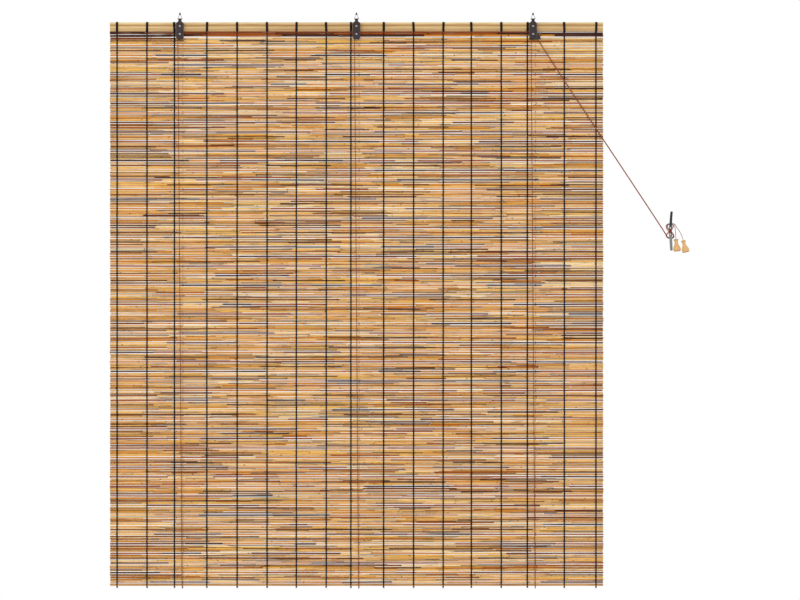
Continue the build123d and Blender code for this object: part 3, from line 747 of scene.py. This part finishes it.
def reed_tree():
    """Rows of reeds of uneven length, laid end to end in the lanes of each row's bundle."""
    graph, given = new_tree(
        "reed_rows",
        {
            "Rows": "Int",
            "First Row": "Int",
            "Width": "Float",
            "Reeds Along": "Int",
            "Diameter": "Float",
            "Bundle High": "Float",
            "Bundle Deep": "Float",
            "Seed": "Int",
            "Material": "Material",
        },
    )
    along, seed = given["Reeds Along"], given["Seed"]
    index = graph.node("GeometryNodeInputIndex", {}, {})
    strip = graph.math("FLOOR", index / along)
    cell = index - strip * along
    row_here = graph.math("FLOOR", strip / LANES)
    lane = strip - row_here * LANES
    row = row_here + given["First Row"]
    name = row * (LANES * NAMES_ALONG) + lane * NAMES_ALONG + cell

    def chance(number, low, high, salt):
        """A fixed random value for a whole number."""
        settings = {"data_type": "FLOAT"}
        inputs = {2: low, 3: high, "ID": number, "Seed": seed + salt}
        return graph.node("FunctionNodeRandomValue", settings, inputs, 1)

    inner_start = graph.math("GREATER_THAN", cell, 0.5)
    inner_end = graph.math("LESS_THAN", cell, along - 1.5)
    start = cell + chance(name, -UNEVEN, UNEVEN, 1) * inner_start
    end = cell + 1 + chance(name + 1, -UNEVEN, UNEVEN, 1) * inner_end
    share = given["Width"] / along
    length = (end - start) * share - chance(name, 0.0, END_GAP, 2)
    ragged = chance(name, *RAGGED, 3) * (1 - inner_start * inner_end)
    middle = (start + end) * 0.5 * share - given["Width"] * 0.5 + ragged

    # rows that stand apart hold two reeds, one behind the other
    lead = graph.math("LESS_THAN", row, LEAD_ROWS - 0.5)
    phase = graph.math("FRACT", (row - 1) / GROUP_ROWS)
    fourth = graph.math("LESS_THAN", phase, 0.5 / GROUP_ROWS)
    apart = graph.math("MAXIMUM", lead, fourth)
    angle = lane * (math.pi / 2)
    up = graph.math("COSINE", angle)
    back = graph.math("SINE", angle)
    beside = graph.math("GREATER_THAN", graph.math("ABSOLUTE", up), 0.5)
    front = graph.math("LESS_THAN", back, -0.5)
    second = graph.math("LESS_THAN", graph.math("ABSOLUTE", phase - 0.5), 0.5 / GROUP_ROWS)
    accent = graph.math("MAXIMUM", apart, second * front)

    # a row's height: the lead rows are further apart
    held = graph.math("MINIMUM", row, float(LEAD_ROWS))
    height = FIRST_ROW_Z - held * LEAD_PITCH - (row - held) * ROW_PITCH
    z = height + up * given["Bundle High"] + chance(name, -HEIGHT_SCATTER, HEIGHT_SCATTER, 4)
    y = MAT_Y + back * given["Bundle Deep"] * (1 - apart * 0.5)
    y = y + chance(name, -DEPTH_SCATTER, DEPTH_SCATTER, 5)
    thick = given["Diameter"] * chance(name, *THICKNESS, 6) * (1 + front * 0.08)
    thick = thick * (1 + apart * SINGLE_THICKER + lead * LEAD_THICKER)

    count = given["Rows"] * along * LANES
    places = graph.node(
        "GeometryNodePoints", {}, {"Count": count, "Position": graph.vector(middle, y, z)}
    )
    for label, value in (
        ("tone", chance(name, 0.0, 1.0, 7)),
        ("accent", accent + lead),
        ("drawn", lead * (row * 2 - 1)),
        ("length", length),
        ("thick", thick),
        ("wander", chance(name, 0.0, 100.0, 8)),
        ("spare", apart * beside),
        ("tilt", chance(name, -TILT_SCATTER, TILT_SCATTER, 9)),
        ("joint_x", middle + chance(name, -NODE_SCATTER, NODE_SCATTER, 10)),
    ):
        places = graph.node(
            "GeometryNodeStoreNamedAttribute",
            {"data_type": "FLOAT", "domain": "POINT"},
            {"Geometry": places, "Name": label, "Value": value},
        )

    def stored(label):
        return graph.node(
            "GeometryNodeInputNamedAttribute", {"data_type": "FLOAT"}, {"Name": label}
        )

    kept = graph.node(
        "GeometryNodeDeleteGeometry",
        {"domain": "POINT"},
        {"Geometry": places, "Selection": stored("spare")},
    )
    stem = graph.node(
        "GeometryNodeMeshCylinder",
        {"fill_type": "NGON"},
        {"Vertices": 6, "Side Segments": 4, "Radius": 0.5, "Depth": 1.0},
    )
    lying = graph.node(
        "GeometryNodeTransform", {}, {"Geometry": stem, "Rotation": (0, math.pi / 2, 0)}
    )
    turned = graph.vector(stored("wander"), stored("tilt"), 0.0)
    laid = graph.node(
        "GeometryNodeInstanceOnPoints",
        {},
        {
            "Points": kept,
            "Instance": lying,
            "Rotation": graph.node("FunctionNodeEulerToRotation", {}, {0: turned}),
            "Scale": graph.vector(stored("length"), stored("thick"), stored("thick")),
        },
    )
    real = graph.node("GeometryNodeRealizeInstances", {}, {0: laid})
    position = graph.node("GeometryNodeInputPosition", {}, {})
    x, _, _ = graph.parts(position)
    sway = graph.noise(graph.vector(x * 5.0, stored("wander"), 0.0), 1.0, 1.0)
    # the two lead rows draw together past the first bracket
    past = graph.smooth(x, BRACKET_X[0] - 0.06, BRACKET_X[0] + 0.05)
    drift = (sway - 0.5) * SWAY + stored("drawn") * past * LEAD_DRAW
    bent = graph.node(
        "GeometryNodeSetPosition", {}, {"Geometry": real, "Offset": graph.vector(0.0, 0.0, drift)}
    )
    shaded = graph.node("GeometryNodeSetShadeSmooth", {}, {"Geometry": bent})
    return close_tree(graph, shaded, given["Material"])


def panel_rows():
    """How many rows of reeds each panel holds, and its first row."""
    rows, first = [], 0
    for number in range(PANEL_COUNT):
        low = PANEL_LOW_Z[number] if number < PANEL_COUNT - 1 else SLAT_HIGH.z
        count = 0
        while row_z(first + count) > low:
            count += 1
        rows.append((first, count))
        first += count
    return rows


def reed_mats():
    tree = reed_tree()
    for number, (first, count) in enumerate(panel_rows(), 1):
        mat = grow(
            f"reeds_{number:02d}",
            tree,
            {
                "Rows": count,
                "First Row": first,
                "Width": MAT_WIDTH,
                "Reeds Along": REEDS_ALONG,
                "Diameter": REED_DIAMETER,
                "Bundle High": BUNDLE_HIGH,
                "Bundle Deep": BUNDLE_DEEP,
                "Seed": 11,
                "Material": REED,
            },
        )
        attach(mat, PANEL_BODIES[number - 1])
        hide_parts(f"mat_panel_{number:02d}")


# ---- warp twine ----


def twine_x():
    """Where the twines are, from the knots that end them."""
    spots = sorted(vertex.co.x for vertex in frame["nodes"]["warp_knots"].data.vertices)
    groups = [[spots[0]]]
    for x in spots[1:]:
        if x - groups[-1][-1] > 10 * MM:
            groups.append([])
        groups[-1].append(x)
    return [(group[0] + group[-1]) / 2 for group in groups]


TWINE_X = twine_x()


def twine_tree():
    """Two strands at each place that swap sides of the mat between rows."""
    graph, given = new_tree(
        "twined_strands",
        {
            "Geometry": "Geometry",
            "Top": "Float",
            "Bottom": "Float",
            "Row Height": "Float",
            "Pitch": "Float",
            "Swing": "Float",
            "Depth": "Float",
            "Width": "Float",
            "Steps": "Int",
            "Material": "Material",
        },
    )
    line = graph.node(
        "GeometryNodeCurvePrimitiveLine",
        {},
        {
            "Start": graph.vector(0.0, 0.0, given["Top"]),
            "End": graph.vector(0.0, 0.0, given["Bottom"]),
        },
    )
    even = graph.node("GeometryNodeResampleCurve", {}, {"Curve": line, "Count": given["Steps"]})
    _, _, z = graph.parts(graph.node("GeometryNodeInputPosition", {}, {}))
    wave = graph.math("COSINE", (z - given["Row Height"]) / given["Pitch"] * math.pi) * 1.7
    level = graph.math("MAXIMUM", graph.math("MINIMUM", wave, 1.0), -1.0)
    profile = graph.node(
        "GeometryNodeCurvePrimitiveCircle",
        {},
        {"Resolution": 5, "Radius": given["Depth"] * 0.5},
    )
    strands = graph.tree.nodes.new("GeometryNodeJoinGeometry")
    for way in (1, -1):
        offset = graph.vector(0.0, level * given["Swing"] * way, 0.0)
        strand = graph.node("GeometryNodeSetPosition", {}, {"Geometry": even, "Offset": offset})
        tube = graph.node(
            "GeometryNodeCurveToMesh",
            {},
            {"Curve": strand, "Profile Curve": profile, "Fill Caps": True},
        )
        graph.tree.links.new(tube.socket, strands.inputs[0])
    flat = graph.node(
        "GeometryNodeTransform",
        {},
        {
            "Geometry": Wire(graph, strands.outputs[0]),
            "Scale": graph.vector(given["Width"] / given["Depth"], 1.0, 1.0),
        },
    )
    rows = graph.node(
        "GeometryNodeInstanceOnPoints", {}, {"Points": given["Geometry"], "Instance": flat}
    )
    shaded = graph.node("GeometryNodeSetShadeSmooth", {}, {"Geometry": rows})
    return close_tree(graph, shaded, given["Material"])


def across_hinge(made, number):
    """Bakes a piece's place into its mesh. The hinge is counted from 0."""
    PANEL_BODIES[number + 1]
    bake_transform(made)


def warp():
    """The twines in stretches, each from the middle of one panel to the middle of the next."""
    tree = twine_tree()
    places = [(x, MAT_Y, 0.0) for x in TWINE_X]
    ends = [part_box("warp_twines")[1].z, *CUT_Z, SLAT_LOW.z - 1 * MM]
    for number, (top, bottom) in enumerate(zip(ends, ends[1:])):
        stretch = grow(
            f"twines_{number:02d}",
            tree,
            {
                "Top": top,
                "Bottom": bottom,
                "Row Height": row_z(LEAD_ROWS),
                "Pitch": ROW_PITCH,
                "Swing": TWINE_SWING,
                "Depth": TWINE_DEPTH,
                "Width": TWINE_WIDTH,
                "Steps": max(2, round((top - bottom) / ROW_PITCH * TWINE_STEPS)) + 1,
                "Material": TWINE,
            },
            places,
        )
        if number == 0:
            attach(stretch, PANEL_BODIES[0])
            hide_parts("warp_twines")
        elif number == PANEL_COUNT:
            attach(stretch, PANEL_BODIES[-1])
        else:
            across_hinge(stretch, number - 1)


def batten_loops():
    """The twine wound four times round the batten at each place."""
    tubes = Tubes()
    radius = LOOP_THREAD / 2
    low_y, high_y = BATTEN_LOW.y - radius, BATTEN_HIGH.y + radius
    low_z, high_z = BATTEN_LOW.z - radius, BATTEN_HIGH.z + radius
    corners = [(low_y, low_z), (high_y, low_z), (high_y, high_z), (low_y, high_z)]
    for number, x in enumerate(TWINE_X):
        lean = math.sin(number * 2.4) * LOOP_LEAN
        for turn in range(LOOP_TURNS):
            start = x + (turn - (LOOP_TURNS - 1) / 2) * LOOP_THREAD
            path = []
            for corner in range(5):
                y, z = corners[corner % 4]
                before, after = corners[(corner - 1) % 4], corners[(corner + 1) % 4]
                # a winding moves half a thread along the batten on its way round
                here = start + LOOP_THREAD * 0.5 * (corner / 4 - 0.5)
                here += lean * (z - low_z) / (high_z - low_z)
                for step in (0.0, 0.3, 0.7, 1.0):
                    if (corner == 0 and step < 0.5) or (corner == 4 and step > 0.5):
                        continue
                    a = Vector((0, before[0] - y, before[1] - z)).normalized() * LOOP_CORNER
                    b = Vector((0, after[0] - y, after[1] - z)).normalized() * LOOP_CORNER
                    bend = a * (1 - step) ** 2 + b * step**2
                    path.append(Vector((here, y, z)) + bend)
            tubes.add(path, radius, 6)
    loops = tubes.piece("batten_loops", TWINE)
    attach(loops, "headrail")
    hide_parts("warp_loops")


def knot_path(middle, size, turn):
    """A trefoil, as the middle line of a tied knot about size across."""
    path = []
    steps = 42
    spin = Matrix.Rotation(turn, 3, "Z") @ Matrix.Rotation(turn * 0.7, 3, "X")
    for step in range(steps + 1):
        angle = 2 * math.pi * step / steps
        point = Vector(
            (
                math.sin(angle) + 2 * math.sin(2 * angle),
                math.cos(angle) - 2 * math.cos(2 * angle),
                -1.6 * math.sin(3 * angle),
            )
        )
        path.append(middle + spin @ point * (size / TREFOIL_SIZE))
    return path


def warp_knots():
    """The knot and cut tails that end each twine under the bottom slat."""
    tubes = Tubes()
    low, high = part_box("warp_knots")
    middle_z = (low.z + high.z) / 2
    for number, x in enumerate(TWINE_X):
        middle = Vector((x, MAT_Y, middle_z))
        tubes.add(knot_path(middle, KNOT_SIZE, number * 1.3), KNOT_SIZE * 0.17, 6)
        for way in (-1, 1):
            foot = middle + Vector((way * 0.9 * MM, -0.8 * MM, -1.5 * MM))
            reach = Vector((way * 1.2 * MM, -0.6 * MM, -3.2 * MM))
            tubes.add([foot, foot + reach * 0.5, foot + reach], 0.6 * MM, 6)
            side = Vector((0, way * TWINE_SWING * 0.8, 0))
            top = middle + side + Vector((0, 0, 2.4 * MM))
            tubes.add([top, middle + side * 0.4 + Vector((0, 0, 1.0 * MM)), middle], 0.9 * MM, 6)
    knots = tubes.piece("twine_knots", TWINE)
    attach(knots, PANEL_BODIES[-1])
    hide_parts("warp_knots")


# ---- lift cords ----


def front_run(lane, z):
    """The front run of a lift cord: straight from under the mat up to its wheel."""
    low = Vector((BRACKET_X[lane] + FRONT_RUN_X, FRONT_RUN_Y, UNDER_Z))
    high = Vector((BRACKET_X[lane] - CORD_ROUND, LANE_Y[lane], AXLE_Z + CORD_ROUND))
    return low.lerp(high, (z - low.z) / (high.z - low.z))


def back_run(lane, z):
    return Vector((BRACKET_X[lane] + BACK_RUN.x, BACK_RUN.y, z))


def lift_cords():
    """Each cord's ends in one piece, and the runs on the mat in stretches between panels."""
    radius = LIFT_DIAMETER / 2
    corner = CORD_ROUND * 2
    top_z = AXLE_Z + CORD_ROUND
    under = Tubes()
    for lane, side in enumerate(SIDES):
        x, y = BRACKET_X[lane], LANE_Y[lane]
        mouth = Vector((LOCK_MOUTH_X[lane], y, LOCK_MOUTH_Z[lane]))
        turn_x = BRACKET_X[2] + CORD_ROUND * 0.72
        over = [
            front_run(lane, CUT_Z[0]),
            front_run(lane, CUT_Z[0] + 15 * MM),
            front_run(lane, top_z - corner),
            front_run(lane, top_z),
            Vector((x - CORD_ROUND + corner * 0.6, y, top_z)),
            Vector((turn_x - 5 * MM, y, top_z)),
            Vector((turn_x, y, top_z)),
            mouth.lerp(Vector((turn_x, y, top_z)), 0.45),
            mouth,
        ]
        if side != "right":
            over.insert(5, Vector((x + 20 * MM, y, top_z)))
        behind = [
            Vector((x + BACK_RUN.x, BATTEN_LOW.y + 3 * MM, ANCHOR_Z)),
            Vector((x + BACK_RUN.x, BATTEN_HIGH.y - 3 * MM, ANCHOR_Z)),
            Vector((x + BACK_RUN.x, BACK_RUN.y, ANCHOR_Z)),
            back_run(lane, ANCHOR_Z - 4 * MM),
            back_run(lane, ANCHOR_Z - 10 * MM),
            back_run(lane, CUT_Z[0]),
        ]
        tubes = Tubes()
        tubes.add(nurbs_points(over), radius)
        tubes.add(nurbs_points(behind), radius)
        knot = Vector((x + BACK_RUN.x, BATTEN_LOW.y + 1.4 * MM, ANCHOR_Z))
        tubes.add(knot_path(knot, 3.8 * MM, lane), 0.7 * MM, 6)
        top = tubes.piece(f"lift_{side}", LIFT_BRAID)
        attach(top, "headrail")
        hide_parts(f"lift_cord_{side}")
        low_z = CUT_Z[-1]
        bend = [
            back_run(lane, low_z),
            back_run(lane, UNDER_Z + UNDER_REACH),
            back_run(lane, UNDER_Z),
            front_run(lane, UNDER_Z),
            front_run(lane, UNDER_Z + UNDER_REACH),
            front_run(lane, low_z),
        ]
        under.add(nurbs_points(bend), radius, along=low_z)
    loops = under.piece("lift_loops_under", LIFT_BRAID)
    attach(loops, PANEL_BODIES[-1])
    for number, hinge in enumerate(HINGE_Z):
        top, low = CUT_Z[number], CUT_Z[number + 1]
        heights = [top]
        heights += [hinge + HINGE_ZONE * step / 3 for step in range(4, -5, -1)]
        heights.append(low)
        tubes = Tubes()
        for lane in range(3):
            for run in (front_run, back_run):
                tubes.add([run(lane, z) for z in heights], radius, along=-top)
        stretch = tubes.piece(f"lift_runs_{number + 1:02d}", LIFT_BRAID)
        across_hinge(stretch, number)


# ---- knobs and pull cords ----


def lathe(profile, sides, place):
    """A closed solid turned from (radius, height) points, put in place, with its own axes kept."""
    points, turned, faces = [], [], []
    for radius, height in profile:
        for turn in range(sides):
            angle = 2 * math.pi * turn / sides
            local = Vector((radius * math.cos(angle), radius * math.sin(angle), height))
            turned.append(local)
            points.append(place @ local)
    count = len(profile)
    for number in range(count):
        above = (number + 1) % count
        for turn in range(sides):
            beside = (turn + 1) % sides
            corners = ((number, turn), (above, turn), (above, beside), (number, beside))
            faces.append(tuple(level * sides + spoke for level, spoke in corners))
    mesh = mesh_of("turned", points, faces)
    kept = mesh.attributes.new("turned", "FLOAT_VECTOR", "POINT")
    kept.data.foreach_set("vector", [value for point in turned for value in point])
    return weld(mesh)


def knob(side, number):
    """A turned bell with a lip, a bore for the cord and a pocket for its knot."""
    outline = nurbs_points([Vector((radius, 0, z)) * MM for radius, z in KNOB_OUTLINE], 4)
    tilt = math.radians(KNOB_TILTS[number])
    place = Matrix.Translation(KNOB_TOPS[number]) @ Matrix.Rotation(-tilt, 4, "Y")
    made = piece(f"turned_knob_{side}", lathe([(p.x, p.z) for p in outline], 40, place), KNOB_WOOD)
    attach(made, "wall_side")
    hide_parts(f"knob_{side}")
    return made


def pull_cords():
    """The two cords from the lock to the cleat and down, each with its knot and its knob."""
    routes = (("left", PULL_ROUTE_LEFT), ("right", PULL_ROUTE_RIGHT))
    for number, (side, route) in enumerate(routes):
        tilt = math.radians(KNOB_TILTS[number])
        down = Vector((math.sin(tilt), 0, -math.cos(tilt)))
        top = KNOB_TOPS[number]
        ends = [top - down * 5 * MM, top + down * KNOB_KNOT_DEPTH]
        path = nurbs_points([*(Vector(p) * MM for p in route), *ends], 24)
        tubes = Tubes()
        tubes.add(path, PULL_DIAMETER / 2, 8)
        cord = tubes.piece(f"pull_{side}", PULL_BRAID)
        tied = Tubes()
        tied.add(knot_path(path[-1] + down * 1.6 * MM, 4.6 * MM, 1.0), PULL_DIAMETER / 2, 6)
        knot = tied.piece(f"pull_knot_{side}", PULL_BRAID)
        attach(knot, "wall_side")
        wood = knob(side, number)
        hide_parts(f"pull_cord_{side}")
        reach = (path[-1] - path[0]).normalized() * SWING_REACH
        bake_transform(cord)


# ---- cleat ----


def cleat():
    """A cast two-horned cleat, swept from horn to horn, drilled and countersunk for two screws."""
    low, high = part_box("cleat")
    middle = (low + high) / 2
    half = (high.z - low.z) / 2
    sides = CLEAT_SIDES
    points, faces = [], []
    for level in range(CLEAT_LEVELS + 1):
        share = level / CLEAT_LEVELS * 2 - 1
        # levels crowd towards the tips, where the horn closes
        height = math.sin(share * math.pi / 2) * half
        away = abs(height) / half
        past = max(0.0, abs(height) - (half - CLEAT_CAP)) / CLEAT_CAP
        close = max(0.0, 1 - past**2) ** 0.5
        wide = (CLEAT_HALF_WIDTH - (0.95 if height > 0 else 0.7) * MM * away) * close
        into_foot = 1 / (1 + math.exp((abs(height) - CLEAT_FOOT) / CLEAT_FOOT_SLOPE))
        rear = CLEAT_BACK_Y + (high.y - CLEAT_BACK_Y) * into_foot
        lift = 3.0 * MM * away**2
        y_front = CLEAT_FRONT_Y - lift
        y_back = rear - lift * (1 - into_foot) - 1.2 * MM * away
        deep = (y_back - y_front) / 2 * max(close, 0.02)
        lean = (2.5 if height > 0 else 2.0) * MM * away**2
        centre = Vector((middle.x + lean, (y_front + y_back) / 2, middle.z + height))
        for turn in range(sides):
            angle = 2 * math.pi * turn / sides
            c, s = math.cos(angle), math.sin(angle)
            power = 0.62 if into_foot > 0.5 else 0.8
            x = math.copysign(abs(c) ** power, c) * max(wide, 0.05 * MM)
            y = math.copysign(abs(s) ** power, s) * deep
            points.append(centre + Vector((x, y, 0)))
    for level in range(CLEAT_LEVELS):
        for turn in range(sides):
            a, b = level * sides + turn, level * sides + (turn + 1) % sides
            faces.append((a, b, b + sides, a + sides))
    faces.append(tuple(reversed(range(sides))))
    faces.append(tuple(CLEAT_LEVELS * sides + turn for turn in range(sides)))
    made = piece("cast_cleat", mesh_of("cast_cleat", points, faces), CLEAT_METAL)
    outline = [(radius * MM, height * MM) for radius, height in SCREW_OUTLINE]
    facing = Matrix.Rotation(math.pi / 2, 4, "X")
    for way in (-1, 1):
        spot = Matrix.Translation((middle.x, 0, middle.z + way * SCREW_Z)) @ facing
        drill = piece("drill", lathe(outline, 24, spot))
        cut = made.modifiers.new("drill", "BOOLEAN")
        cut.operation = "DIFFERENCE"
        cut.object = drill
        graph = bpy.context.evaluated_depsgraph_get()
        drilled = bpy.data.meshes.new_from_object(made.evaluated_get(graph))
        made.modifiers.clear()
        made.data = drilled
        bpy.data.objects.remove(drill)
    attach(made, "wall_side")
    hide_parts("cleat")


# ---- stage ----


def stage():
    """A pale floor well below the blind, white surroundings, soft lights and the camera."""
    floor_z = SLAT_LOW.z - FLOOR_DROP
    corners = [(-4, -5, floor_z), (4, -5, floor_z), (4, 2.6, floor_z), (-4, 2.6, floor_z)]
    floor_look = Surface("floor", 0.8)
    floor_look.set("Base Color", (0.86, 0.86, 0.86, 1))
    floor = piece("floor", mesh_of("floor", corners, [(0, 1, 2, 3)], False), floor_look.material)
    world = bpy.data.worlds.new("white")
    world.use_nodes = True
    world.node_tree.nodes["Background"].inputs["Color"].default_value = (1, 1, 1, 1)
    world.node_tree.nodes["Background"].inputs["Strength"].default_value = 1.0
    bpy.context.scene.world = world
    middle = Vector((0.1, 0, -0.8))
    for name, place, size, power in (
        ("key", (-2.6, -4.4, 1.6), 2.6, 40),
        ("fill", (3.2, -4.6, 0.4), 3.0, 12),
        ("rear", (0.6, 3.8, 1.4), 3.0, 30),
    ):
        data = bpy.data.lights.new(name, "AREA")
        data.size = size
        data.energy = power
        light = bpy.data.objects.new(name, data)
        light.location = place
        light.rotation_euler = (middle - Vector(place)).to_track_quat("-Z", "Y").to_euler()
        light.visible_camera = False
        bpy.context.scene.collection.objects.link(light)
    data = bpy.data.cameras.new("camera")
    data.sensor_width = 36.0
    data.lens = CAMERA_LENS
    camera = bpy.data.objects.new("camera", data)
    camera.location = (CAMERA_X, MAT_Y - CAMERA_AWAY, CAMERA_Z)
    camera.rotation_euler = (math.pi / 2, 0, 0)
    bpy.context.scene.collection.objects.link(camera)
    bpy.context.scene.camera = camera
    bpy.context.scene.view_settings.view_transform = "Standard"


stage()
pull_cords()
lift_cords()
reed_mats()
warp()
batten_loops()
warp_knots()
cleat()
